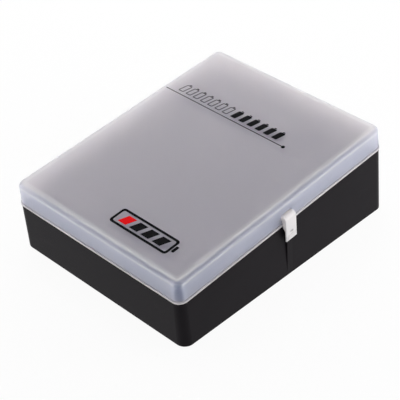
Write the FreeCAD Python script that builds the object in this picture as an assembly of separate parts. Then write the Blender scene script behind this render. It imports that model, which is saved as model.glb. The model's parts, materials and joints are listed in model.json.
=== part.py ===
"""Battery storage case: a wedge-shaped black base with trays for cells, and a hinged, latched, frosted lid.

Millimetres. The case has its own frame, in which every piece is drawn: X runs across it from the hinge side
to the latch side, Y along it from the shallow front to the deep rear, and Z square to the lid, with z = 0 at
the seam between base and lid. The whole case is then tilted about X until its underside is level. The
finished model's origin is the centre of the underside, with +Z up.
"""
import FreeCAD, Part
import math
import os
from FreeCAD import Placement, Rotation, Vector

# Case
CASE_WIDTH = 150.0        # across the seam, hinge side to latch side
CASE_LENGTH = 194.0       # along the seam, front to rear
FRONT_DEPTH = 36.2        # seam to underside at the front
REAR_DEPTH = 52.0         # seam to underside at the rear
LID_HEIGHT = 17.5
BASE_FLARE = 0.0203       # the base grows outwards by this much for each mm below the seam
LID_DRAFT = 0.0488        # the lid narrows by this much for each mm above the seam
CORNER_R = 6.0
LID_TOP_R = 3.3
BASE_WALL = 2.0
LID_WALL = 1.8
LID_TOP = 1.6
SEAM_GAP = 0.3            # open seam between the two rims
GAP = 0.3                 # clearance between pieces that move past each other
SLACK = 0.15              # clearance round a piece that is pushed into place

# Rims
LID_BAND_HEIGHT = 1.2     # raised band round the lid's lower rim
LID_BAND_PROUD = 0.4
RIM_INSET = 3.1           # inner face of the base's thickened rim and of its lip
RIM_DEPTH = 4.0
LIP_HEIGHT = 2.0          # lip on the base that stands inside the lid
LIP_INSET = LID_WALL + 0.4

# Bottom plate and feet
PLATE_THICKNESS = 1.4
FOOT_R = 6.0
FOOT_THICKNESS = 1.4
FOOT_RECESS = 0.6
FOOT_INSET = 14.0         # foot's centre in from the sides of the case
FOOT_EDGE_R = 0.35

# Trays, front to rear: name, count, cells in a row, cell length, clear width, divider size and kind
TRAY_KINDS = (
    ("aaa_tray", 2, 12, 44.5, 11.0, 1.4, "round"),
    ("aa_tray", 4, 9, 50.5, 15.0, 2.0, "round"),
    ("block_tray", 1, 5, 48.5, 17.8, 4.0, "flat"),
    ("c_tray", 1, 5, 50.0, 26.8, 3.4, "round"),
    ("d_tray", 1, 4, 61.5, 34.8, 4.4, "round"),
)
TRAY_TOP = -8.0           # trays end this far below the seam
TRAY_LENGTH = 143.4
TRAY_WALL = 1.2
TRAY_FLOOR = 0.8
TRAY_CORNER_R = 2.0
RISER_WALL = 1.2          # risers carry the trays over the bottom plate
RISER_INSET = 1.0         # a riser's outline in from that of its trays
RISER_CELLS = 8           # ribs divide a riser into this many cells
CELL_TOP = 15.4           # standing cells reach this high under the lid
DIVIDER_DROP = 1.0        # dividers end this far below the tray's top
FLAT_DIVIDER = 1.2        # thickness of a flat divider
SCALLOP_SHARE = 0.3       # finger scallop's radius as a share of the tray's width
NIB_LENGTH = 6.0          # retaining nibs over the joints between trays
NIB_HEIGHT = 1.4
NIB_OVERLAP = 0.5

# Hinges
HINGE_Y = 58.0            # hinge centres, each side of the middle
HINGE_OUT = 3.4           # hinge axis outside the case's wall
KNUCKLE_R = 2.5
KNUCKLE_ROOT = 9.0        # how far a knuckle's gusset runs along the wall
LID_KNUCKLE_HALF = 6.85
BASE_KNUCKLE_END = 15.0
PIN_R = 1.2
PIN_RUNNING = 0.05
LID_OPEN = 110.0          # degrees
STOP_REACH = 3.0          # the lid's stop block, drawn where it meets the base
STOP_DROP = 4.2

# Latch
LATCH_HALF = 5.0
LATCH_TOP = 8.0
LATCH_BOTTOM = -12.0
LATCH_FACE = 3.4          # front face, out from the case's wall
LATCH_TOP_R = 3.0
TONGUE_THICKNESS = 1.2
PIVOT_IN = 1.0            # latch axis inside the case's wall
PIVOT_Z = 6.0
BARREL_R = 1.2
TRUNNION_R = 0.9
TRUNNION_LENGTH = 1.2
LATCH_EDGE_R = 0.4
BLOCK_UNDERSIDE = -1.0    # where the clip's block ends at the wall; it slopes down to the tongue from there
UNDERSIDE_SLOPE = 1.5
RIDGE_R = 0.3             # grip ridges across the tongue
RIDGE_PITCH = 1.1
DIMPLE_Z = -5.2
DIMPLE_DEPTH = 0.6
DIMPLE_HALF_WIDTH = 2.0
DIMPLE_HALF_HEIGHT = 0.9
HOOK_TOP = -9.7
HOOK_BOTTOM = -11.5
HOOK_TIP = 1.0            # hook's tip, out from the case's wall
HOOK_HALF = 3.0
CATCH_HALF = 2.5          # the catch rib on the base
CATCH_TOP = -3.3
CATCH_PROUD = 1.84        # rib's face at its top, out from the case's wall
CATCH_LEAN = 0.0265       # the rib's face leans in, and fades into the flared wall
POCKET_DEPTH = 2.6        # pocket in the lid behind the latch's pivot
POCKET_LOW = 4.5
POCKET_HIGH = 8.8
POCKET_WALL = 1.4
SOCKET_WALL = 2.0

HALF_W = CASE_WIDTH / 2
HALF_L = CASE_LENGTH / 2
RISE = (REAR_DEPTH - FRONT_DEPTH) / CASE_LENGTH
TILT_DEG = math.degrees(math.atan(RISE))
HINGE_X = -HALF_W - HINGE_OUT
WALL_OVERLAP = 0.5        # joined solids run this far into each other
REACH = 400.0             # longer than the case, for cutting tools


def tilt_placement():
    """From the case's own frame to the finished model's: level underside, origin at its centre."""
    turn = Rotation(Vector(1, 0, 0), TILT_DEG)
    centre = turn.multVec(Vector(0, 0, -(FRONT_DEPTH + REAR_DEPTH) / 2))
    return Placement(centre.negative(), turn)


TILT = tilt_placement()


def rounded_wire(half_x, half_y, radius, z, y_mid=0.0):
    """Closed rounded rectangle at height z."""
    turn = radius * (1 - math.sqrt(0.5))
    edges = []
    corners = ((1, 1), (-1, 1), (-1, -1), (1, -1))
    arcs = []
    for sx, sy in corners:
        on_x = Vector(sx * half_x, y_mid + sy * (half_y - radius), z)
        on_y = Vector(sx * (half_x - radius), y_mid + sy * half_y, z)
        middle = Vector(sx * (half_x - turn), y_mid + sy * (half_y - turn), z)
        arcs.append((on_x, middle, on_y) if sx * sy > 0 else (on_y, middle, on_x))
    for here, after in zip(arcs, arcs[1:] + arcs[:1]):
        edges.append(Part.Arc(*here).toShape())
        edges.append(Part.LineSegment(here[2], after[0]).toShape())
    return Part.Wire(edges)


def block(inset, low, high, draft):
    """Solid with the case's plan, inset all round, that narrows upwards by its draft."""
    wires = []
    for z in (low, high):
        shrink = inset + draft * z
        wires.append(rounded_wire(HALF_W - shrink, HALF_L - shrink, CORNER_R - shrink, z))
    return Part.makeLoft(wires, True, True)


def ring(outer_inset, inner_inset, low, high, draft):
    return block(outer_inset, low, high, draft).cut(block(inner_inset, low - 1, high + 1, draft))


def outline_across(points, y_low, y_high):
    """Prism along Y from a closed outline of (x, z) points."""
    corners = [Vector(x, y_low, z) for x, z in points]
    face = Part.Face(Part.makePolygon(corners + corners[:1]))
    return face.extrude(Vector(0, y_high - y_low, 0))


def outline_along(points, x_low, x_high):
    """Prism along X from a closed outline of (y, z) points."""
    corners = [Vector(x_low, y, z) for y, z in points]
    face = Part.Face(Part.makePolygon(corners + corners[:1]))
    return face.extrude(Vector(x_high - x_low, 0, 0))


def rod(x, z, radius, y_low, y_high):
    return Part.makeCylinder(radius, y_high - y_low, Vector(x, y_low, z), Vector(0, 1, 0))


def box(x_low, x_high, y_low, y_high, z_low, z_high):
    size = (x_high - x_low, y_high - y_low, z_high - z_low)
    return Part.makeBox(*size, Vector(x_low, y_low, z_low))


def underside_z(y, above=0.0):
    """Height of the level plane that lies this far above the underside, at y."""
    return -FRONT_DEPTH - RISE * (y + HALF_L) + above * math.sqrt(1 + RISE * RISE)


def below_level(above):
    """Everything below the level plane that lies this far above the underside."""
    far = REACH / 2
    surface = [(y, underside_z(y, above)) for y in (-far, far)]
    return outline_along(surface + [(far, -REACH), (-far, -REACH)], -far, far)


def join(first, *others):
    return first.multiFuse(list(others)).removeSplitter()


# ---- base ----

def base_knuckles(side):
    """Two knuckles with gussets for one hinge, bored to grip the pin."""
    solids = []
    slant = KNUCKLE_R * math.sqrt(0.5)
    root = -HALF_W + WALL_OVERLAP
    gusset = [(HINGE_X - slant, -slant), (root, -KNUCKLE_ROOT), (root, -SEAM_GAP), (HINGE_X, -SEAM_GAP)]
    middle = side * HINGE_Y
    inner_end = LID_KNUCKLE_HALF + GAP
    for low, high in ((-BASE_KNUCKLE_END, -inner_end), (inner_end, BASE_KNUCKLE_END)):
        solids.append(rod(HINGE_X, 0, KNUCKLE_R, middle + low, middle + high))
        solids.append(outline_across(gusset, middle + low, middle + high))
    return solids


def catch_rib():
    """Rib under the latch: it fades into the flared wall near the bottom, and its notch takes the hook."""
    low = underside_z(0) - WALL_OVERLAP
    face_top = HALF_W + CATCH_PROUD
    face_low = face_top - CATCH_LEAN * (CATCH_TOP - low)
    inside = HALF_W - WALL_OVERLAP
    chamfer = 0.5
    outline = [(inside, CATCH_TOP), (face_top - chamfer, CATCH_TOP), (face_top, CATCH_TOP - chamfer),
               (face_low, low), (inside, low)]
    rib = outline_across(outline, -CATCH_HALF, CATCH_HALF)
    floor = HALF_W + BASE_FLARE * -HOOK_BOTTOM + SLACK
    notch = box(floor, face_top + 1, -LATCH_HALF, LATCH_HALF, HOOK_BOTTOM - GAP, HOOK_TOP + GAP)
    return rib.cut(notch)


def retaining_nibs(joints):
    """Small wedges on both end walls that hold the trays down at each joint between two of them."""
    wall = HALF_W - BASE_WALL + WALL_OVERLAP
    tip = TRAY_LENGTH / 2 - NIB_OVERLAP
    low = TRAY_TOP + GAP
    solids = []
    for y in joints:
        for side in (-1, 1):
            outline = [(side * wall, low), (side * tip, low), (side * tip, low + NIB_OVERLAP),
                       (side * wall, low + NIB_HEIGHT + NIB_OVERLAP)]
            solids.append(outline_across(outline, y - NIB_LENGTH / 2, y + NIB_LENGTH / 2))
    return solids


def base_shell(joints):
    top = -SEAM_GAP / 2
    low = underside_z(HALF_L) - 2 * RIM_DEPTH
    walls = ring(0, BASE_WALL, low, top, BASE_FLARE)
    rim = ring(WALL_OVERLAP, RIM_INSET, -RIM_DEPTH, top, BASE_FLARE)
    lip = ring(LIP_INSET, RIM_INSET, -1, LIP_HEIGHT, LID_DRAFT)
    extras = base_knuckles(-1) + base_knuckles(1) + retaining_nibs(joints) + [catch_rib()]
    shell = join(walls, rim, lip, *extras)
    for side in (-1, 1):
        middle = side * HINGE_Y
        shell = shell.cut(rod(HINGE_X, 0, PIN_R, middle - BASE_KNUCKLE_END, middle + BASE_KNUCKLE_END))
    return shell.cut(below_level(0))


def hinge_pin(side):
    """Steel pin, a little shorter than its hinge, with chamfered ends."""
    middle = side * HINGE_Y
    half = BASE_KNUCKLE_END - SLACK
    pin = rod(HINGE_X, 0, PIN_R, middle - half, middle + half)
    ends = [edge for edge in pin.Edges if isinstance(edge.Curve, Part.Circle)]
    return pin.makeChamfer(PIN_R / 5, ends)


def foot_places():
    x = HALF_W - FOOT_INSET
    y = HALF_L - FOOT_INSET
    return [(-x, -y), (x, -y), (-x, y), (x, y)]


def foot(x, y):
    """Rubber foot, drawn level in the finished model's frame, with a rounded lower edge."""
    pad = Part.makeCylinder(FOOT_R, FOOT_THICKNESS, Vector(x, y, FOOT_RECESS - FOOT_THICKNESS))
    lower = [edge for edge in pad.Edges if isinstance(edge.Curve, Part.Circle) and edge.CenterOfMass.z < 0]
    return pad.makeFillet(FOOT_EDGE_R, lower)


def bottom_plate():
    """Plate that closes the base from below, flush with its walls, with recesses for the feet."""
    low = underside_z(HALF_L) - PLATE_THICKNESS
    high = underside_z(-HALF_L) + 2 * PLATE_THICKNESS
    slab = block(BASE_WALL + SLACK, low, high, BASE_FLARE)
    plate = slab.cut(below_level(0)).common(below_level(PLATE_THICKNESS))
    for x, y in foot_places():
        recess = Part.makeCylinder(FOOT_R + SLACK, FOOT_RECESS + 1, Vector(x, y, -1))
        recess.Placement = TILT.inverse()
        plate = plate.cut(recess)
    return plate


# ---- trays ----

def tray_layout():
    """Where each tray stands: its name, its edges along Y, the level its cells stand on, its underside."""
    total = -GAP
    for _, count, _, _, width, _, _ in TRAY_KINDS:
        total += count * (width + 2 * TRAY_WALL + GAP)
    place = -total / 2
    layout = []
    for name, count, cells, length, width, divider, kind in TRAY_KINDS:
        for number in range(count):
            node = f"{name}_{number + 1}" if count > 1 else name
            high = place + width + 2 * TRAY_WALL
            seat = CELL_TOP - length
            layout.append({"node": node, "low": place, "high": high, "cells": cells, "seat": seat,
                           "under": seat - TRAY_FLOOR, "divider": divider, "kind": kind})
            place = high + GAP
    return layout


def tray_joints(trays):
    return [(before["high"] + after["low"]) / 2 for before, after in zip(trays, trays[1:])]


def dividers(tray):
    """Upright dividers on both long walls, between the cells."""
    inner = TRAY_LENGTH / 2 - TRAY_WALL
    pitch = 2 * inner / tray["cells"]
    low = tray["under"] + TRAY_FLOOR / 2
    height = TRAY_TOP - DIVIDER_DROP - low
    size = tray["divider"]
    solids = []
    for number in range(1, tray["cells"]):
        x = -inner + number * pitch
        for wall in (tray["low"] + TRAY_WALL, tray["high"] - TRAY_WALL):
            if tray["kind"] == "round":
                solids.append(Part.makeCylinder(size, height, Vector(x, wall, low)))
            else:
                half = FLAT_DIVIDER / 2
                solids.append(box(x - half, x + half, wall - size, wall + size, low, low + height))
    return solids


def row_prism(low_y, high_y, inset, low, high):
    """Prism with the plan of one or more trays, inset all round, between two heights."""
    middle = (low_y + high_y) / 2
    half_y = (high_y - low_y) / 2 - inset
    plan = rounded_wire(TRAY_LENGTH / 2 - inset, half_y, TRAY_CORNER_R - inset, low, middle)
    return Part.Face(plan).extrude(Vector(0, 0, high - low))


def cell_tray(tray):
    """Open trough for a row of standing cells, with dividers and a finger scallop at each end."""
    edges = (tray["low"], tray["high"])
    outer = row_prism(*edges, 0, tray["under"], TRAY_TOP)
    inner = row_prism(*edges, TRAY_WALL, tray["seat"], TRAY_TOP)
    body = join(outer.cut(inner), *[piece.common(outer) for piece in dividers(tray)])
    scallop_r = (tray["high"] - tray["low"]) * SCALLOP_SHARE
    centre = Vector(-TRAY_LENGTH, sum(edges) / 2, TRAY_TOP)
    return body.cut(Part.makeCylinder(scallop_r, 2 * TRAY_LENGTH, centre, Vector(1, 0, 0)))


def tray_riser(trays):
    """Ribbed frame on the bottom plate that carries the trays of one kind at their level."""
    low_y, high_y = trays[0]["low"], trays[-1]["high"]
    deepest = underside_z(high_y)
    top = trays[0]["under"]
    frame = row_prism(low_y, high_y, RISER_INSET, deepest, top)
    start = low_y + RISER_INSET + RISER_WALL
    end = high_y - RISER_INSET - RISER_WALL
    reach = TRAY_LENGTH / 2 - RISER_INSET - RISER_WALL / 2
    pitch = 2 * reach / RISER_CELLS
    for number in range(RISER_CELLS):
        left = -reach + number * pitch + RISER_WALL / 2
        frame = frame.cut(box(left, left + pitch - RISER_WALL, start, end, deepest - 1, top + 1))
    return frame.cut(below_level(PLATE_THICKNESS))


# ---- lid ----

def level_edges(shape, z):
    """Edges that lie wholly at height z."""
    near = 1e-6
    return [edge for edge in shape.Edges if all(abs(vertex.Z - z) < near for vertex in edge.Vertexes)]


def lid_knuckle(side):
    """Middle knuckle of one hinge, with its gusset and the block that stops the lid on the base's wall."""
    middle = side * HINGE_Y
    slant = KNUCKLE_R * math.sqrt(0.5)
    root = -HALF_W + LID_WALL / 2
    gusset = [(HINGE_X - slant, slant), (root, KNUCKLE_ROOT), (root, SEAM_GAP), (HINGE_X, SEAM_GAP)]
    low, high = middle - LID_KNUCKLE_HALF, middle + LID_KNUCKLE_HALF
    stop = box(HINGE_X - PIN_R, HINGE_X + STOP_REACH, low, high, -STOP_DROP, 0)
    stop.rotate(Vector(HINGE_X, 0, 0), Vector(0, 1, 0), LID_OPEN)
    return [rod(HINGE_X, 0, KNUCKLE_R, low, high), outline_across(gusset, low, high), stop]


def latch_pocket():
    """The pocket's boss inside the lid, and the tools that hollow it: the pocket and its two sockets."""
    pivot_x = HALF_W - PIVOT_IN
    back = HALF_W - POCKET_DEPTH
    half = LATCH_HALF + GAP
    socket_end = half + TRUNNION_LENGTH
    boss_half = half + SOCKET_WALL
    boss = box(back - POCKET_WALL, HALF_W - LID_WALL, -boss_half, boss_half,
               POCKET_LOW - POCKET_WALL, POCKET_HIGH + POCKET_WALL)
    upright = [edge for edge in boss.Edges if edge.CenterOfMass.x < back - POCKET_WALL / 2]
    boss = boss.makeFillet(POCKET_WALL / 2, upright)
    pocket = box(back, HALF_W + 1, -half, half, POCKET_LOW, POCKET_HIGH)
    sockets = rod(pivot_x, PIVOT_Z, TRUNNION_R + PIN_RUNNING, -socket_end, socket_end)
    return boss, pocket.fuse(sockets)


def lid_shell():
    rim = SEAM_GAP / 2
    outer = block(0, rim, LID_HEIGHT, LID_DRAFT)
    outer = outer.makeFillet(LID_TOP_R, level_edges(outer, LID_HEIGHT))
    ceiling = LID_HEIGHT - LID_TOP
    inner = block(LID_WALL, -1, ceiling, LID_DRAFT)
    inner = inner.makeFillet(LID_TOP_R - LID_WALL, level_edges(inner, ceiling))
    band = ring(-LID_BAND_PROUD, LID_WALL / 2, rim, rim + LID_BAND_HEIGHT, 0)
    boss, hollow = latch_pocket()
    pieces = [band, boss] + lid_knuckle(-1) + lid_knuckle(1)
    shell = join(outer.cut(inner), *pieces).cut(hollow)
    for side in (-1, 1):
        middle = side * HINGE_Y
        bore = rod(HINGE_X, 0, PIN_R + PIN_RUNNING, middle - BASE_KNUCKLE_END, middle + BASE_KNUCKLE_END)
        shell = shell.cut(bore)
    return shell


# ---- latch ----

def latch_body():
    """The clip, drawn closed: a block on the lid's wall, and a tongue that hangs in front of the base."""
    back = HALF_W + SLACK
    notch = HALF_W + LID_BAND_PROUD + GAP
    notch_top = SEAM_GAP / 2 + LID_BAND_HEIGHT + GAP
    face = HALF_W + LATCH_FACE
    tongue = face - TONGUE_THICKNESS
    shoulder = face - LATCH_TOP_R
    bend = math.sqrt(0.5) * LATCH_TOP_R
    start = Vector(shoulder, 0, LATCH_TOP)
    middle = Vector(shoulder + bend, 0, LATCH_TOP - LATCH_TOP_R + bend)
    end = Vector(face, 0, LATCH_TOP - LATCH_TOP_R)
    under = BLOCK_UNDERSIDE
    tongue_root = under - (tongue - notch) * UNDERSIDE_SLOPE
    toe = LATCH_BOTTOM + TONGUE_THICKNESS / 2
    toe_mid = Vector((face + tongue) / 2, 0, LATCH_BOTTOM)
    corners = [(tongue, toe), (tongue, tongue_root), (notch, under), (notch, notch_top), (back, notch_top),
               (back, LATCH_TOP)]
    path = [Vector(x, 0, z) for x, z in corners]
    edges = [Part.LineSegment(a, b).toShape() for a, b in zip(path, path[1:] + [start])]
    edges.append(Part.Arc(start, middle, end).toShape())
    edges.append(Part.LineSegment(end, Vector(face, 0, toe)).toShape())
    edges.append(Part.Arc(Vector(face, 0, toe), toe_mid, path[0]).toShape())
    body = Part.Face(Part.Wire(edges)).extrude(Vector(0, 2 * LATCH_HALF, 0))
    body.translate(Vector(0, -LATCH_HALF, 0))
    return body


def round_front_edges(body):
    """Soften both long front edges of the clip."""
    def is_front_edge(edge):
        middle = edge.CenterOfMass
        on_side = abs(abs(middle.y) - LATCH_HALF) < SLACK
        return on_side and middle.x > HALF_W + LATCH_FACE - LATCH_TOP_R / 2 and edge.Length > 2
    return body.makeFillet(LATCH_EDGE_R, [edge for edge in body.Edges if is_front_edge(edge)])


def finger_dimple():
    """Shallow oval, wider than high, to be cut in the front of the tongue."""
    oval = FreeCAD.Matrix()
    oval.scale(1, DIMPLE_HALF_WIDTH / DIMPLE_DEPTH, DIMPLE_HALF_HEIGHT / DIMPLE_DEPTH)
    dimple = Part.makeSphere(DIMPLE_DEPTH).transformGeometry(oval)
    dimple.translate(Vector(HALF_W + LATCH_FACE, 0, DIMPLE_Z))
    return dimple


def latch_clip():
    pivot_x = HALF_W - PIVOT_IN
    face = HALF_W + LATCH_FACE
    hook_root = face - TONGUE_THICKNESS + SLACK
    hook_tip = HALF_W + HOOK_TIP
    end = LATCH_HALF + GAP + TRUNNION_LENGTH - SLACK
    barrel = rod(pivot_x, PIVOT_Z, BARREL_R, -LATCH_HALF, LATCH_HALF)
    trunnions = rod(pivot_x, PIVOT_Z, TRUNNION_R, -end, end)
    arm = box(pivot_x, HALF_W + WALL_OVERLAP, -LATCH_HALF, LATCH_HALF, PIVOT_Z - BARREL_R, PIVOT_Z + BARREL_R)
    hook_outline = [(hook_root, HOOK_TOP), (hook_tip, HOOK_TOP), (hook_tip, HOOK_TOP - WALL_OVERLAP),
                    (hook_root, HOOK_BOTTOM)]
    hook = outline_across(hook_outline, -HOOK_HALF, HOOK_HALF)
    ridge_places = [HOOK_BOTTOM + number * RIDGE_PITCH for number in (1, 2, 3)]
    ridges = [rod(face, z, RIDGE_R, -HOOK_HALF, HOOK_HALF) for z in ridge_places]
    body = round_front_edges(latch_body())
    return join(body, barrel, trunnions, arm, hook, *ridges).cut(finger_dimple())


# ---- the whole case ----

def build_case():
    trays = tray_layout()
    drawn_tilted = {
        "base_shell": base_shell(tray_joints(trays)),
        "bottom_plate": bottom_plate(),
        "hinge_pin_front": hinge_pin(-1),
        "hinge_pin_rear": hinge_pin(1),
        "lid_shell": lid_shell(),
        "latch_clip": latch_clip(),
    }
    for tray in trays:
        drawn_tilted[tray["node"]] = cell_tray(tray)
    for name, count, *_ in TRAY_KINDS:
        carried = [tray for tray in trays if tray["node"].startswith(name)]
        drawn_tilted[name.replace("tray", "riser")] = tray_riser(carried)
    nodes = {}
    for name, shape in drawn_tilted.items():
        nodes[name] = shape.transformed(TILT.toMatrix())
    for number, (x, y) in enumerate(foot_places()):
        nodes[f"foot_{number + 1}"] = foot(x, y)
    return nodes


os.makedirs("parts", exist_ok=True)
for name, shape in build_case().items():
    print(f"{name}: {len(shape.Solids)} solid, {shape.Volume / 1000:.2f} cm3, valid {shape.isValid()}")
    shape.exportStep(os.path.join("parts", name + ".step"))
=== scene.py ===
# %% [markdown]
# # A battery storage case
# The case is a black, wedge-shaped box with nine trays for cells inside, and a frosted lid that turns on
# two hinges and is held by a small white clip. Every solid comes from the imported model, already in its
# place. This lesson gives each solid its finish, prints the marks on the lid, and sets up the floor, the
# lamps and the camera. The imported model is loaded first, and its outer box is measured before anything is
# added, so that the floor can be laid just under it.

# %% Load the imported model
import json
import math

import bpy
from mathutils import Matrix, Vector


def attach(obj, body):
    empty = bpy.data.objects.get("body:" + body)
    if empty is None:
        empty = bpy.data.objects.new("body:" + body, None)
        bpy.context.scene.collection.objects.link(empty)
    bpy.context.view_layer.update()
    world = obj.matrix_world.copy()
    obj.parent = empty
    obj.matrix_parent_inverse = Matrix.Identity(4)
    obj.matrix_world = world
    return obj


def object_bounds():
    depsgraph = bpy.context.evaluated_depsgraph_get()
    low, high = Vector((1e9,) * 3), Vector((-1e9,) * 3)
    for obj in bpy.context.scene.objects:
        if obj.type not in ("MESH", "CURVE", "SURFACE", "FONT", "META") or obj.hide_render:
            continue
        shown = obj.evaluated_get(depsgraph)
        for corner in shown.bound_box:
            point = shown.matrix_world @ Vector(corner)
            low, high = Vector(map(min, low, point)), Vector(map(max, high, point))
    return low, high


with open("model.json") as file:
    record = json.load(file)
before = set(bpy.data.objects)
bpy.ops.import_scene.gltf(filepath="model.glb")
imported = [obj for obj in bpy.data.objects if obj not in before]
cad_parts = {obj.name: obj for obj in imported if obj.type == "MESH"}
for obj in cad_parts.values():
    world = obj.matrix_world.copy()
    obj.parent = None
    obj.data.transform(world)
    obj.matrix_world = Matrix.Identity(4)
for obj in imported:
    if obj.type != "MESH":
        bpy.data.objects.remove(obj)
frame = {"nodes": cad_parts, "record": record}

MM = 0.001
cad_box = [list(corner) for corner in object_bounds()]

# %% [markdown]
# ## The case's own frame
# The case rises to the rear, so its seam and its lid are tilted, while its underside is level. Bands and
# marks on the lid are easier to place in the case's own frame, where X runs across the lid, Y along it and
# Z square to it, in millimetres, with the seam at zero. The tilt follows from the case's length and from
# how deep the base is at its two ends.

# %% Sizes and the matrix from the case's frame to the model's
CASE_WIDTH = 150.0
CASE_LENGTH = 194.0
FRONT_DEPTH = 36.2
REAR_DEPTH = 52.0
CORNER_R = 6.0
LID_HEIGHT = 17.5
LID_TOP_R = 3.3
LID_DRAFT = 0.0488

half_depth = (FRONT_DEPTH + REAR_DEPTH) / 2
tilt_angle = math.atan((REAR_DEPTH - FRONT_DEPTH) / CASE_LENGTH)
turn = Matrix.Rotation(tilt_angle, 4, "X")
underside_middle = turn @ Vector((0, 0, -half_depth))
from_case = Matrix.Scale(MM, 4) @ Matrix.Translation(-underside_middle) @ turn
print(f"the lid is tilted by {math.degrees(tilt_angle):.2f} degrees")

# %% [markdown]
# ## Writing a finish as arithmetic
# A finish is a graph of nodes. Wiring each one by hand is long, and hides the idea. This class wraps one
# socket, so that an expression such as `0.4 + 0.1 * grain` adds its Math nodes by itself. Every other node
# comes from `node`, which takes its type, its settings and what goes into its sockets.

# %% A wire in a node graph
def set_stops(elements, stops):
    """Give a new colour ramp its (place, colour) stops. Two stops are there from the start."""
    elements[1].position = stops[-1][0]
    for number, (place, colour) in enumerate(stops):
        stop = elements[number] if number < 2 else elements.new(place)
        stop.position = place
        stop.color = colour


class Wire:
    """One output socket, which can be used in sums and fed into further nodes."""

    def __init__(self, tree, socket=None):
        self.tree = tree
        self.socket = socket

    def node(self, kind, settings=None, inputs=None, out=0):
        """A new node of this kind, as the wire from its output with this number or name."""
        made = self.tree.nodes.new(kind)
        for key, value in (settings or {}).items():
            if key == "stops":
                set_stops(made.color_ramp.elements, value)
            else:
                setattr(made, key, value)
        for key, value in (inputs or {}).items():
            if isinstance(value, Wire):
                self.tree.links.new(value.socket, made.inputs[key])
            else:
                made.inputs[key].default_value = value
        return Wire(self.tree, made.outputs[out])

    def output(self, name):
        """Another output of the node that this wire comes from."""
        return Wire(self.tree, self.socket.node.outputs[name])

    def maths(self, operation, first, second=0.0):
        return self.node("ShaderNodeMath", {"operation": operation}, {0: first, 1: second})

    def __add__(self, other):
        return self.maths("ADD", self, other)

    __radd__ = __add__

    def __sub__(self, other):
        return self.maths("SUBTRACT", self, other)

    def __rsub__(self, other):
        return self.maths("SUBTRACT", other, self)

    def __mul__(self, other):
        return self.maths("MULTIPLY", self, other)

    __rmul__ = __mul__

    def __truediv__(self, other):
        return self.maths("DIVIDE", self, other)

    def __rtruediv__(self, other):
        return self.maths("DIVIDE", other, self)

    def __pow__(self, other):
        return self.maths("POWER", self, other)

    def __rpow__(self, other):
        return self.maths("POWER", other, self)

    def __abs__(self):
        return self.maths("ABSOLUTE", self)


print("a Wire adds, subtracts, multiplies, divides, raises to a power and drops a sign")

# %% [markdown]
# ## Words that every finish uses
# Five small helpers make a finish short to read: a smooth step between two values, a blend of two colours,
# noise that is fixed to the piece, a bump from a height map, and a material from the values of its
# Principled shader. A noise scale is in features for each metre, and a bump's depth is in metres, so both
# can be compared with the real texture.

# %% Helpers for finishes
def between(start, low, high, value):
    """0 where value is at low, 1 where it is at high, smooth in between."""
    return start.node("ShaderNodeMapRange", {"interpolation_type": "SMOOTHSTEP"},
                      {"Value": value, "From Min": low, "From Max": high})


def tint(start, share, first, second, blend="MIX"):
    """A colour that goes from first to second as share goes from 0 to 1."""
    colours = [value if isinstance(value, Wire) else (*value, 1) for value in (first, second)]
    return start.node("ShaderNodeMix", {"data_type": "RGBA", "blend_type": blend},
                      {0: share, 6: colours[0], 7: colours[1]}, out=2)


def grain(start, scale, detail=3.0, density=(1, 1, 1)):
    """Noise fixed to the piece, at this many features in a metre, times the density along each axis."""
    where = start.node("ShaderNodeTexCoord", out="Object")
    where = start.node("ShaderNodeMapping", {}, {"Vector": where, "Scale": density})
    return start.node("ShaderNodeTexNoise", {}, {"Vector": where, "Scale": scale, "Detail": detail})


def bumped(start, height, depth, strength=1.0):
    """A normal tilted by a height map, where full white stands proud by depth."""
    return start.node("ShaderNodeBump", {}, {"Height": height, "Distance": depth, "Strength": strength})


def new_finish(name, look):
    """A material whose Principled shader gets what look returns: {socket: value or wire}."""
    material = bpy.data.materials.new(name)
    material.use_nodes = True
    tree = material.node_tree
    shader = tree.nodes["Principled BSDF"]
    for key, value in look(Wire(tree)).items():
        if isinstance(value, Wire):
            tree.links.new(value.socket, shader.inputs[key])
        else:
            shader.inputs[key].default_value = value
    print("finish:", name, "with", len(tree.nodes), "nodes")
    return material


# %% [markdown]
# ## The black base
# The base is injection moulded polypropylene, in a mould whose walls were spark eroded, which gives a fine
# satin texture. It is far too fine to model, so it is a small bump, and the gloss varies with it. A real
# moulding is never one even black: the melt leaves faint cloudy flow marks, and handling leaves the odd
# smear that is a little glossier, so colour and gloss drift as well.

# %% Satin black
def satin_black(start):
    texture = grain(start, 2600.0)
    pits = between(start, 0.35, 0.65, texture)
    cloud = between(start, 0.3, 0.7, grain(start, 24.0, 2.0))
    smear = between(start, 0.55, 0.8, grain(start, 60.0, 4.0, (1, 1, 2.5)))
    share = 0.4 * cloud + 0.6 * pits
    return {
        "Base Color": tint(start, share, (0.0042, 0.0030, 0.0048), (0.0106, 0.0088, 0.0110)),
        "Roughness": 0.36 + 0.12 * pits + 0.04 * cloud - 0.06 * smear,
        "Specular IOR Level": 0.06,
        "IOR": 1.49,
        "Normal": bumped(start, texture, 0.00004, 0.8),
    }


black_plastic = new_finish("satin_black_plastic", satin_black)

# %% [markdown]
# ## The black trays
# The trays are polystyrene, a little greyer and glossier than the base, because their mould was only
# sanded. Sanding runs along the rows, so the noise is made less dense along X, which draws it out there.

# %% Tray black
def tray_black(start):
    sanding = grain(start, 900.0, 4.0, (0.12, 1, 1))
    flow = between(start, 0.3, 0.7, grain(start, 40.0, 2.0))
    share = 0.5 * flow + 0.5 * between(start, 0.35, 0.65, sanding)
    return {
        "Base Color": tint(start, share, (0.018, 0.018, 0.020), (0.036, 0.036, 0.038)),
        "Roughness": 0.34 + 0.14 * sanding,
        "IOR": 1.55,
        "Normal": bumped(start, sanding, 0.00005, 0.6),
    }


tray_plastic = new_finish("tray_black_plastic", tray_black)
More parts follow.
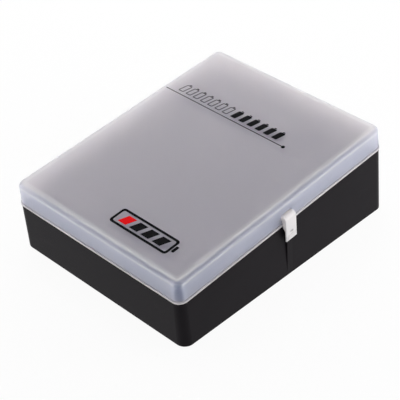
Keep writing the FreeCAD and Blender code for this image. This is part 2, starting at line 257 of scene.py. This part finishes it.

# %% [markdown]
# ## Where a point is on the lid
# The lid's colour is painted dark and bluish halfway round a rounded edge, as painted shade, and paler in
# two thin lines, where the rounding starts and where it ends, as painted highlights. Those bands follow the
# shape, so they are worked out from it. The section angle is 0 where the top's rounded edge starts, 90
# degrees where it ends in the wall, negative on the flat top and above 90 on the wall. The plan angle does
# the same for the upright corners: it is 0 where a corner starts on the long side and 90 where it ends on
# the short one.

# %% Angles that follow the lid's shape
def case_place(start):
    """The point's place in the case's own frame, in millimetres, as three wires."""
    where = start.node("ShaderNodeTexCoord", out="Object")
    moved = start.node("ShaderNodeMapping", {}, {"Vector": where, "Location": (0, 0, -half_depth),
                                                 "Rotation": (-tilt_angle, 0, 0), "Scale": (1 / MM,) * 3})
    across = start.node("ShaderNodeSeparateXYZ", {}, {0: moved})
    return across, across.output("Y"), across.output("Z")


def lid_angles(start):
    """Section and plan angle in degrees, then depth inside the wall and height in millimetres."""
    across, along, high = case_place(start)
    out_x = abs(across) - (CASE_WIDTH / 2 - CORNER_R)
    out_y = abs(along) - (CASE_LENGTH / 2 - CORNER_R)
    beyond_x = start.maths("MAXIMUM", out_x, 0.0)
    beyond_y = start.maths("MAXIMUM", out_y, 0.0)
    nearer = start.maths("MINIMUM", start.maths("MAXIMUM", out_x, out_y), 0.0)
    reach = (beyond_x * beyond_x + beyond_y * beyond_y) ** 0.5 + nearer
    inside = CORNER_R - LID_DRAFT * high - reach
    degrees = 180 / math.pi
    section = start.maths("ARCTAN2", LID_TOP_R - inside, high - (LID_HEIGHT - LID_TOP_R)) * degrees
    plan = start.maths("ARCTAN2", out_y, out_x) * degrees
    return section, plan, inside, high


def stops(pairs, low, high):
    """A ramp's stops from (value, colour) pairs, for values from low to high."""
    return [((value - low) / (high - low), (*colour, 1)) for value, colour in pairs]


print("the lid's angles are measured from its rounded edges")

# %% [markdown]
# ## The frosted lid: its milk
# The lid is natural polypropylene, about 1.7 mm thick, and milky. Part of the light is thrown back by the
# plastic itself, and that part is made here, as an opaque shader. Two ramps hold its colours, one for the
# section angle and one for the plan angle, and they paint light into it: painted shade halfway round each
# edge and corner, and painted highlights in the pale lines where they start and end. Below them come the
# rim, a pale line of painted highlight along the wall's foot where the mould closed, and the shallow groove
# just above it, which is painted darker as a painted shadow.

# %% Milky plastic
# These bands paint light into the milk: the pale lines are painted highlights, and the dark band halfway
# round is painted shade.
SECTION_PAINTED_BANDS = (
    (-85, (0.45, 0.45, 0.61)),   # the flat top
    (-35, (0.45, 0.45, 0.61)),
    (-18, (0.84, 0.88, 0.97)),   # the pale line where the edge starts
    (2, (0.82, 0.83, 0.90)),
    (24, (0.77, 0.79, 0.88)),
    (43, (0.36, 0.43, 0.69)),    # halfway round the edge
    (62, (0.34, 0.41, 0.67)),
    (79, (0.80, 0.82, 0.89)),    # the pale line where it ends
    (97, (0.87, 0.88, 0.92)),
    (114, (0.61, 0.67, 0.87)),   # the wall
    (150, (0.60, 0.66, 0.87)),
)
# On the corners too, the pale lines are painted highlights and the dark band is painted shade.
PLAN_PAINTED_BANDS = (
    (-22, (0.86, 0.86, 0.86)),   # the long wall
    (-4, (1.0, 1.0, 1.0)),       # the pale line where the corner starts
    (10, (1.0, 1.0, 1.0)),
    (26, (0.44, 0.50, 0.62)),    # halfway round the corner
    (64, (0.44, 0.50, 0.62)),
    (80, (1.0, 1.0, 1.0)),       # the pale line where it ends
    (94, (1.0, 1.0, 1.0)),
    (112, (0.86, 0.86, 0.86)),   # the short wall
)
SECTION_RANGE = (-90, 180)       # the angles at the ramp's two ends
PLAN_RANGE = (-30, 120)
ON_WALL = (40.0, 85.0)           # the plan bands fade in between these section angles
STANDS_PROUD = (-1.7, -1.3)      # rim and groove fade out where the lid stands this far out of its wall, mm
RIM_TOP = 1.35                   # height of the rim above the seam, mm
RIM_END = (RIM_TOP - 0.25, RIM_TOP + 0.05)
GROOVE_START = (RIM_TOP - 0.1, RIM_TOP + 0.25)
GROOVE_END = (1.9, 2.6)
# Colours of the painted shadow in the groove and of the painted highlight on the rim.
GROOVE_SHADOW_MILK = (0.22, 0.21, 0.27)
RIM_HIGHLIGHT_MILK = (0.78, 0.745, 0.755)
CLOUD_MILK = (0.90, 0.90, 0.92)
CLOUD_SHARE = 0.10


def along_ramp(start, bands, limits, angle):
    """The colour, at this angle, of a ramp with its bands between two limits."""
    low, high = limits
    return start.node("ShaderNodeValToRGB", {"stops": stops(bands, low, high)},
                      {0: (angle - low) / (high - low)})


def rim_and_groove(start, inside, high):
    """Two masks: the rim at the wall's foot, where a highlight is painted, and the groove above it, where a
    shadow is painted.
    """
    at_wall = between(start, *STANDS_PROUD, inside)
    groove = between(start, *GROOVE_START, high) * (1 - between(start, *GROOVE_END, high))
    rim = 1 - between(start, *RIM_END, high)
    return rim * at_wall, groove * at_wall


def lid_skin(start):
    """The skin's fine texture, and the normal that it tilts."""
    texture = grain(start, 1800.0)
    return texture, bumped(start, texture, 0.00002, 0.3)


def milk(start):
    texture, normal = lid_skin(start)
    section, plan, inside, high = lid_angles(start)
    round_section = along_ramp(start, SECTION_PAINTED_BANDS, SECTION_RANGE, section)
    round_plan = along_ramp(start, PLAN_PAINTED_BANDS, PLAN_RANGE, plan)
    darker = tint(start, 1.0, round_section, round_plan, "MULTIPLY")
    colour = tint(start, between(start, *ON_WALL, section), round_section, darker)
    rim, groove = rim_and_groove(start, inside, high)
    # Painted shadow in the groove, then a painted highlight on the rim.
    colour = tint(start, groove, colour, GROOVE_SHADOW_MILK)
    colour = tint(start, rim, colour, RIM_HIGHLIGHT_MILK)
    colour = tint(start, CLOUD_SHARE * grain(start, 30.0, 2.0), colour, CLOUD_MILK)
    return {
        "Base Color": colour,
        "Roughness": 0.42 + 0.08 * texture,
        "IOR": 1.49,
        "Normal": normal,
    }


lid_plastic = new_finish("frosted_plastic", milk)

# %% [markdown]
# ## The frosted lid: what shines through
# The rest of the light goes on through the plastic and is spread by its rough skin, so that the lid turns
# grey over the black trays and bright where daylight is behind it. A second, clear shader does this, and
# one Mix Shader node blends the two. Its share follows the section angle too: it is high on the flat top
# and halfway round the edge, and low in the pale line where the edge ends in the wall, which helps to paint
# the highlights and the shade of the milk's bands.

# %% Clear share of the plastic
# These clear shares help to paint the bands' highlights and shade.
CLEAR_BANDS = (
    (-85, 0.82),                 # the flat top
    (-30, 0.82),
    (-12, 0.75),                 # the pale line where the edge starts
    (24, 0.70),
    (43, 0.80),                  # halfway round the edge
    (62, 0.80),
    (79, 0.47),                  # the pale line where it ends
    (96, 0.44),
    (114, 0.66),                 # the wall
    (170, 0.66),
)
# The rim's clear share and the groove's clear colour paint a highlight and a shadow.
RIM_HIGHLIGHT_CLEAR = 0.36                 # the clear share in the rim
CLEAR_TINT = (0.97, 0.932, 0.89)
GROOVE_SHADOW_TINT = (0.50, 0.49, 0.50)
CLEAR_INDEX = 1.35
CLEAR_ROUGHNESS = 0.88

tree = lid_plastic.node_tree
start = Wire(tree)
milky = Wire(tree, tree.nodes["Principled BSDF"].outputs[0])
texture, normal = lid_skin(start)
section, _, inside, high = lid_angles(start)
greys = [(angle, (grey,) * 3) for angle, grey in CLEAR_BANDS]
share = along_ramp(start, greys, SECTION_RANGE, section)
rim, groove = rim_and_groove(start, inside, high)
# The rim's lower clear share is part of its painted highlight; the groove darkens the clear colour below as
# a painted shadow.
share = share * (1 - rim) + RIM_HIGHLIGHT_CLEAR * rim
clear = start.node("ShaderNodeBsdfPrincipled", {}, {
    "Base Color": tint(start, groove, CLEAR_TINT, GROOVE_SHADOW_TINT),
    "Transmission Weight": 1.0,
    "IOR": CLEAR_INDEX,
    "Roughness": CLEAR_ROUGHNESS + 0.08 * texture,
    "Normal": normal,
})
both = start.node("ShaderNodeMixShader", {}, {0: share, 1: milky, 2: clear})
tree.links.new(both.socket, tree.nodes["Material Output"].inputs["Surface"])
print("frosted plastic: milky and clear shaders mixed,", len(tree.nodes), "nodes")

# %% [markdown]
# ## The white clip
# The clip is natural acetal or nylon: a faintly warm white, polished, and slightly translucent, so that
# its shaded side stays light. Grey painted shade darkens the finger dimple and the valleys between the grip
# ridges. Both places are found from their sizes in the case's frame.

# %% Clip white
CLIP_FACE = (77.7, 77.8)         # painted shade starts here, from the case's middle plane, mm
DIMPLE_Z = -5.2
DIMPLE_HALF_WIDTH = 2.0
DIMPLE_HALF_HEIGHT = 0.9
DIMPLE_EDGE = (0.35, 1.05)       # from the middle, in half sizes, squared
RIDGE_PITCH = 1.1
RIDGE_LOW = -10.95
RIDGE_HIGH = -7.65
RIDGE_FADE = 0.3
VALLEY_EDGE = (0.2, 0.9)         # of a cosine that is 1 in the valleys
# Strength and colour of the painted shade in the dimple and between the ridges.
VALLEY_SHADE = 0.8
RECESS_SHADE_SHARE = 0.8
RECESS_SHADE = (0.36, 0.34, 0.36)


def clip_recess_shade(start):
    """1 where shade is painted: in the dimple, and between the ridges."""
    across, along, high = case_place(start)
    reach = (along / DIMPLE_HALF_WIDTH) ** 2 + ((high - DIMPLE_Z) / DIMPLE_HALF_HEIGHT) ** 2
    dimple = 1 - between(start, *DIMPLE_EDGE, reach)
    wave = start.maths("COSINE", (high - RIDGE_LOW) * (2 * math.pi / RIDGE_PITCH))
    above = between(start, RIDGE_LOW - RIDGE_FADE, RIDGE_LOW, high)
    below = 1 - between(start, RIDGE_HIGH, RIDGE_HIGH + RIDGE_FADE, high)
    valleys = between(start, *VALLEY_EDGE, wave) * above * below
    on_face = between(start, *CLIP_FACE, across)
    return start.maths("MAXIMUM", dimple, VALLEY_SHADE * valleys) * on_face


def clip_white(start):
    cloud = grain(start, 120.0, 2.0)
    texture = grain(start, 1500.0)
    clean = tint(start, cloud, (0.72, 0.69, 0.70), (0.80, 0.775, 0.78))
    return {
        # Grey painted shade in the dimple and between the grip ridges.
        "Base Color": tint(start, RECESS_SHADE_SHARE * clip_recess_shade(start), clean, RECESS_SHADE),
        "Roughness": 0.30 + 0.08 * texture,
        "IOR": 1.49,
        "Subsurface Weight": 0.5,
        "Subsurface Radius": (1.0, 0.95, 0.9),
        "Subsurface Scale": 0.003,
        "Normal": bumped(start, texture, 0.00002, 0.3),
    }


clip_plastic = new_finish("clip_white_plastic", clip_white)

# %% [markdown]
# ## Hinge pins and feet
# The pins are drawn steel wire, with fine streaks along their length, so the noise is made much less dense
# along Y. The feet are moulded rubber, matt and slightly chalky, with specks of dust in the pores.

# %% Drawn steel and rubber
def drawn_steel(start):
    streaks = grain(start, 3000.0, 4.0, (1, 0.03, 1))
    return {
        "Base Color": tint(start, streaks, (0.50, 0.50, 0.51), (0.66, 0.66, 0.66)),
        "Metallic": 1.0,
        "Roughness": 0.22 + 0.16 * streaks,
        "Normal": bumped(start, streaks, 0.00002, 0.3),
    }


def foot_rubber(start):
    specks = grain(start, 1600.0)
    return {
        "Base Color": tint(start, specks, (0.018, 0.018, 0.018), (0.034, 0.034, 0.033)),
        "Roughness": 0.70 + 0.15 * specks,
        "Normal": bumped(start, specks, 0.00004, 0.6),
    }


pin_steel = new_finish("drawn_steel", drawn_steel)
rubber = new_finish("moulded_rubber", foot_rubber)

# %% [markdown]
# ## Dressing the solids
# The record says which material slot each solid takes, so one table from slot to finish dresses them all.
# The meshes stay as they are: only their material slots change.

# %% Put each finish on its solids
FINISHES = {
    "base_plastic": black_plastic,
    "tray_plastic": tray_plastic,
    "lid_plastic": lid_plastic,
    "latch_plastic": clip_plastic,
    "pin_steel": pin_steel,
    "foot_rubber": rubber,
}
for part in frame["record"]["subparts"]:
    mesh = frame["nodes"][part["node"]].data
    mesh.materials.clear()
    mesh.materials.append(FINISHES[part["material_slot"]])

# %% [markdown]
# ## Printing ink
# The marks on the lid are pad printed: a film of ink a few hundredths of a millimetre thick, with a soft
# sheen and faint pinholes. Each mark is a real, very thin solid that lies on the plastic, so that it has
# an edge and moves with the lid.

# %% Black and red ink
INK_FILM = 0.05           # thickness, mm
INK_LIFT = 0.01           # gap under the film, mm


def ink(light, dark):
    """The look of one ink, from its lightest and its darkest colour."""
    def look(start):
        speckle = grain(start, 3500.0)
        worn = between(start, 0.35, 0.75, grain(start, 300.0, 4.0))
        return {
            "Base Color": tint(start, worn, dark, light),
            "Roughness": 0.45 + 0.16 * speckle,
            "Specular IOR Level": 0.02,
            "Normal": bumped(start, speckle, 0.00001, 0.3),
        }
    return look


black_ink = new_finish("black_ink", ink((0.0070, 0.0070, 0.0080), (0.0030, 0.0030, 0.0035)))
red_ink = new_finish("red_ink", ink((0.82, 0.008, 0.010), (0.74, 0.004, 0.006)))


def new_piece(name, mesh, finish):
    """An object in the scene with this mesh, in this finish unless the mesh brings its own."""
    piece = bpy.data.objects.new(name, mesh)
    bpy.context.scene.collection.objects.link(piece)
    if not mesh.materials:
        mesh.materials.append(finish)
    return piece


def printed(name, outlines, finish):
    """Thin solids of ink on the lid's top, from outlines whose (x, y) points run anticlockwise."""
    low = LID_HEIGHT + INK_LIFT
    points, faces = [], []
    for outline in outlines:
        under = [len(points) + number for number in range(len(outline))]
        over = [number + len(outline) for number in under]
        points += [(x, y, z) for z in (low, low + INK_FILM) for x, y in outline]
        faces += [under[::-1], over]
        faces += [(under[n - 1], under[n], over[n], over[n - 1]) for n in range(len(outline))]
    mesh = bpy.data.meshes.new(name)
    mesh.from_pydata(points, [], faces)
    mesh.transform(from_case)
    piece = new_piece(name, mesh, finish)
    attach(piece, "lid")
    print(f"{name}: {len(faces)} faces")


print(f"ink film: {INK_FILM} mm thick")

# %% [markdown]
# ## The printed rule
# A thin rule runs across the lid from its hinge side and ends in a dot. Each is one closed outline, laid
# flat on the plastic and raised by the film's thickness. The dot is a many-sided disc from a formula.

# %% Rule and dot
RULE_START = -70.5
RULE_END = 37.8
RULE_Y = 39.4
RULE_THICKNESS = 0.62
DOT_R = 1.35
DOT_SIDES = 32


def disc(x, y, radius, sides):
    """The outline of a disc, as a many-sided shape."""
    turns = [2 * math.pi * number / sides for number in range(sides)]
    return [(x + radius * math.cos(a), y + radius * math.sin(a)) for a in turns]


half = RULE_THICKNESS / 2
rule = [(RULE_START, RULE_Y - half), (RULE_END, RULE_Y - half), (RULE_END, RULE_Y + half),
        (RULE_START, RULE_Y + half)]
printed("lid_rule", [rule], black_ink)
printed("lid_rule_dot", [disc(RULE_END, RULE_Y, DOT_R, DOT_SIDES)], black_ink)

# %% [markdown]
# ## A tree that prints cells
# Above the rule stands a row of little cells: seven empty outlines, and then six full ones. One node tree
# draws them all. It fills a rounded rectangle with a nub on top, leaves a smaller rectangle open unless
# the cell is full, leans the shape, raises it by the film's thickness and repeats it along a line. Its
# sizes are named inputs in millimetres, so the same tree also draws the large cell on the front half.

# %% The cell printing tree
CELL_INPUTS = {"Count": "Int", "Pitch": "Float", "Width": "Float", "Height": "Float", "Line": "Float",
               "Corner": "Float", "Nub Width": "Float", "Nub Height": "Float", "Lean": "Float",
               "Film": "Float", "Full": "Bool", "Finish": "Material"}
CORNER_STEPS = 5          # points in each rounded corner
HOLE_CORNER = 0.6         # the hole's corners are tighter by this share of the line
NUB_CORNER = 0.25         # the nub's corner radius, as a share of its height
NUB_GAP = 0.35            # the nub stands off by this share of the line


def cell_tree():
    group = bpy.data.node_groups.new("printed_cells", "GeometryNodeTree")
    for name, kind in CELL_INPUTS.items():
        group.interface.new_socket(name, in_out="INPUT", socket_type="NodeSocket" + kind)
    group.interface.new_socket("Geometry", in_out="OUTPUT", socket_type="NodeSocketGeometry")
    start = Wire(group)
    size = start.node("NodeGroupInput")

    def block(width, height, radius, up=0.0):
        """A rectangle of curve with rounded corners, its middle raised by up."""
        flat = start.node("GeometryNodeCurvePrimitiveQuadrilateral", {}, {"Width": width, "Height": height})
        soft = start.node("GeometryNodeFilletCurve", {"mode": "POLY"},
                          {"Curve": flat, "Radius": radius, "Count": CORNER_STEPS, "Limit Radius": True})
        move = start.node("ShaderNodeCombineXYZ", {}, {"Y": up})
        return start.node("GeometryNodeTransform", {}, {"Geometry": soft, "Translation": move})

    def joined(*parts):
        made = start.node("GeometryNodeJoinGeometry")
        for part in parts:
            group.links.new(part.socket, made.socket.node.inputs[0])
        return made

    wide, tall, line, corner = (size.output(name) for name in ("Width", "Height", "Line", "Corner"))
    nub_wide, nub_tall = size.output("Nub Width"), size.output("Nub Height")
    body = block(wide, tall, corner)
    hole = block(wide - 2 * line, tall - 2 * line, corner - HOLE_CORNER * line)
    ring = start.node("GeometryNodeSwitch", {"input_type": "GEOMETRY"},
                      {"Switch": size.output("Full"), "False": joined(body, hole), "True": body})
    nub = block(nub_wide, nub_tall, NUB_CORNER * nub_tall, 0.5 * tall + 0.5 * nub_tall + NUB_GAP * line)
    flat = joined(start.node("GeometryNodeFillCurve", {}, {"Curve": ring}),
                  start.node("GeometryNodeFillCurve", {}, {"Curve": nub}))
    place = start.node("ShaderNodeSeparateXYZ", {}, {0: start.node("GeometryNodeInputPosition")})
    lean = start.node("ShaderNodeCombineXYZ", {}, {"X": place.output("Y") * size.output("Lean")})
    flat = start.node("GeometryNodeSetPosition", {}, {"Geometry": flat, "Offset": lean})
    up = start.node("ShaderNodeCombineXYZ", {}, {"Z": size.output("Film")})
    raised = start.node("GeometryNodeExtrudeMesh", {},
                        {"Mesh": flat, "Offset": up, "Offset Scale": 1.0, "Individual": False})
    under = start.node("GeometryNodeFlipFaces", {}, {"Mesh": flat})
    solid = start.node("GeometryNodeMergeByDistance", {}, {"Geometry": joined(raised, under)})
    step = start.node("ShaderNodeCombineXYZ", {}, {"X": size.output("Pitch")})
    row = start.node("GeometryNodeMeshLine", {}, {"Count": size.output("Count"), "Offset": step})
    cells = start.node("GeometryNodeInstanceOnPoints", {}, {"Points": row, "Instance": solid})
    real = start.node("GeometryNodeRealizeInstances", {}, {"Geometry": cells})
    inked = start.node("GeometryNodeSetMaterial", {}, {"Geometry": real, "Material": size.output("Finish")})
    result = group.nodes.new("NodeGroupOutput")
    group.links.new(inked.socket, result.inputs[0])
    return group


printed_cells = cell_tree()
print("cell tree:", len(printed_cells.nodes), "nodes")

# %% [markdown]
# ## The row of cells
# The modifier's inputs are set before the tree first runs. Its result is then copied to a plain mesh, moved
# to its place on the lid and made to ride with it. Both parts of the row lean by 12 degrees, as printed
# marks on small appliances often do.

# %% Rows of empty and full cells
ROW_Y = 46.4
ROW_LINE = 0.6
ROW_LEAN = math.tan(math.radians(12))


def print_cells(name, x, y, turn_by=0.0, **sizes):
    """Cells printed on the lid from the tree: x and y are the middle of the first cell."""
    sizes.update(Film=INK_FILM, Finish=black_ink)
    holder = new_piece(name + "_nodes", bpy.data.meshes.new(name + "_nodes"), black_ink)
    modifier = holder.modifiers.new("cells", "NODES")
    modifier.node_group = printed_cells
    for item in printed_cells.interface.items_tree:
        if item.in_out == "INPUT":
            modifier[item.identifier] = sizes[item.name.replace(" ", "_")]
    bpy.context.view_layer.update()
    evaluated = holder.evaluated_get(bpy.context.evaluated_depsgraph_get())
    mesh = bpy.data.meshes.new_from_object(evaluated)
    bpy.data.objects.remove(holder)
    mesh.name = name
    place = Matrix.Translation((x, y, LID_HEIGHT + INK_LIFT)) @ Matrix.Rotation(turn_by, 4, "Z")
    mesh.transform(from_case @ place)
    piece = new_piece(name, mesh, black_ink)
    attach(piece, "lid")
    print(f"{name}: {len(mesh.polygons)} faces")


small_cell = dict(Width=4.5, Height=8.2, Corner=0.8, Nub_Width=1.9, Nub_Height=0.9, Line=ROW_LINE,
                  Lean=ROW_LEAN)
print_cells("lid_cells_empty", -58.6, ROW_Y, Count=7, Pitch=6.9, Full=False, **small_cell)
print_cells("lid_cells_full", -9.4, ROW_Y, Count=6, Pitch=7.4, Full=True, **small_cell)

# %% [markdown]
# ## The large cell
# Near the front of the lid lies one large cell, in a bold line, with leaning bars of charge inside: three
# are black, and the first is red, as on a gauge that runs low. The tree draws the cell, turned to lie
# across the lid, and the bars are outlines, because each is only a leaning rectangle.

# %% Large cell with its charge bars
MARK_X, MARK_Y = 25.0, -75.4
MARK_LENGTH, MARK_WIDTH, MARK_LINE = 50.0, 14.4, 1.8
MARK_TURN = math.radians(-90)
BAR_COUNT = 4
BAR_LEAN = 3.0
BAR_GAP = 3.2             # between two bars, and beside the first and the last
BAR_MARGIN = 1.6          # between a bar's ends and the cell's line


def charge_bars():
    """Outlines of the bars, evenly spaced inside the large cell."""
    room = MARK_LENGTH - 2 * (MARK_LINE + BAR_GAP) - BAR_LEAN
    pitch = (room + BAR_GAP) / BAR_COUNT
    low = MARK_Y - MARK_WIDTH / 2 + MARK_LINE + BAR_MARGIN
    high = MARK_Y + MARK_WIDTH / 2 - MARK_LINE - BAR_MARGIN
    left = MARK_X - MARK_LENGTH / 2 + MARK_LINE + BAR_GAP
    for number in range(BAR_COUNT):
        near = left + number * pitch
        far = near + pitch - BAR_GAP
        yield [(near, low), (far, low), (far + BAR_LEAN, high), (near + BAR_LEAN, high)]


print_cells("lid_mark_cell", MARK_X, MARK_Y, MARK_TURN, Count=1, Pitch=1.0, Width=MARK_WIDTH,
            Height=MARK_LENGTH, Line=MARK_LINE, Corner=2.4, Nub_Width=5.6, Nub_Height=2.2, Lean=0.0,
            Full=False)
bars = list(charge_bars())
printed("lid_mark_bar_low", bars[:1], red_ink)
printed("lid_mark_bars", bars[1:], black_ink)

# %% [markdown]
# ## The floor
# The case stands on a sheet of white paper. Seen by the camera, in a reflection or through the clear
# plastic, the paper has the studio's plain white, which Light Path picks out. A small part of it stays a
# plain diffuse surface for every ray, so that the shadow of the case still shows. Light that the paper
# spreads onto the case's matt surfaces comes from the diffuse paper alone.

# %% White paper floor
FLOOR_REACH = 6.0         # metres to each side
FLOOR_GAP = 0.02 * MM     # keeps the paper just under the feet
PAPER_WHITE = 0.88
PAPER_GLOW = 0.93         # share of the plain white where the paper is seen


def seen_rays(start):
    """1 for rays from the camera, a reflection or through something clear, 0 for all others."""
    path = start.node("ShaderNodeLightPath", out="Is Camera Ray")
    return path + path.output("Is Glossy Ray") + path.output("Is Transmission Ray")


floor_z = cad_box[0][2] - FLOOR_GAP
signs = ((-1, -1), (1, -1), (1, 1), (-1, 1))
corners = [(x * FLOOR_REACH, y * FLOOR_REACH, floor_z) for x, y in signs]
floor_mesh = bpy.data.meshes.new("floor")
floor_mesh.from_pydata(corners, [], [(0, 1, 2, 3)])
paper = bpy.data.materials.new("white_paper")
paper.use_nodes = True
start = Wire(paper.node_tree)
diffuse = start.node("ShaderNodeBsdfDiffuse", {}, {"Color": (PAPER_WHITE,) * 3 + (1,)})
glow = start.node("ShaderNodeEmission", {}, {"Color": (1, 1, 1, 1), "Strength": 1.0})
seen = start.node("ShaderNodeMixShader", {}, {0: PAPER_GLOW * seen_rays(start), 1: diffuse, 2: glow})
paper.node_tree.links.new(seen.socket, paper.node_tree.nodes["Material Output"].inputs["Surface"])
floor = new_piece("floor", floor_mesh, paper)
print("floor at", floor_z)

# %% [markdown]
# ## Light
# The world is an even, soft white. It is seen at full strength, but it lights the case with little more
# than half of that, so that pale plastic stays below pure white. Four soft boxes add shape. A narrow one
# hangs above the hinge side. One stands to the rear of that side, and its light skims over the lid and
# brightens it towards the rear, as a window would. Two small ones stand low beside the far ends of the two
# near walls, which turn paler there. All are weak, so that the open lid doesn't clip to white.

# %% World and soft boxes
SKY = 0.59                # strength of the world as a lamp, while it is seen at 1
SOFT_BOXES = (            # name, place, what it points at, size and watts
    ("top_softbox", (-0.24, 0.0, 0.50), (-0.03, 0, 0.05), (0.15, 0.4), 0.35),
    ("back_softbox", (-0.45, 0.45, 0.33), (0, 0, 0.05), (0.6, 0.3), 1.6),
    ("right_softbox", (0.32, 0.30, 0.14), (0.07, 0.1, 0.05), (0.3, 0.2), 1.0),
    ("left_softbox", (-0.30, -0.36, 0.08), (-0.07, -0.1, 0.04), (0.3, 0.2), 0.75),
)


def softbox(name, place, aim, size, watts):
    """A rectangular lamp that points from its place at its aim."""
    lamp = bpy.data.lights.new(name, "AREA")
    lamp.shape = "RECTANGLE"
    lamp.size, lamp.size_y = size
    lamp.energy = watts
    holder = bpy.data.objects.new(name, lamp)
    bpy.context.scene.collection.objects.link(holder)
    holder.location = place
    holder.rotation_euler = (Vector(aim) - Vector(place)).to_track_quat("-Z", "Y").to_euler()
    print(f"{name}: {watts} W")


world = bpy.data.worlds.new("studio")
bpy.context.scene.world = world
world.use_nodes = True
start = Wire(world.node_tree)
strength = SKY + (1 - SKY) * seen_rays(start)
backdrop = start.node("ShaderNodeBackground", {}, {"Color": (1, 1, 1, 1), "Strength": strength})
world.node_tree.links.new(backdrop.socket, world.node_tree.nodes["World Output"].inputs["Surface"])
for box in SOFT_BOXES:
    softbox(*box)

# %% [markdown]
# ## The camera
# The camera looks down on the near corner from 38 degrees above the table, through a long lens, so that
# the edges of the case stay almost parallel. Its axes are written as two directions, and the third follows.

# %% Camera
SENSOR_MM = 36.0
LENS_MM = 115.0
NEAR_CLIP, FAR_CLIP = 0.05, 20.0
EYE = Vector((0.4812653, -0.4886125, 0.5483713))
AHEAD = Vector((-0.55961407, 0.56124941, -0.60977963))
RIGHT = Vector((0.71870878, 0.69502726, -0.01986932))

camera_data = bpy.data.cameras.new("camera")
camera_data.sensor_width = SENSOR_MM
camera_data.lens = LENS_MM
camera_data.clip_start, camera_data.clip_end = NEAR_CLIP, FAR_CLIP
camera = bpy.data.objects.new("camera", camera_data)
bpy.context.scene.collection.objects.link(camera)
axes = Matrix((RIGHT, RIGHT.cross(AHEAD), -AHEAD)).transposed().to_4x4()
camera.matrix_world = Matrix.Translation(EYE) @ axes
bpy.context.scene.camera = camera
bpy.context.scene.view_settings.view_transform = "Standard"
print("camera at", [round(value, 3) for value in EYE])
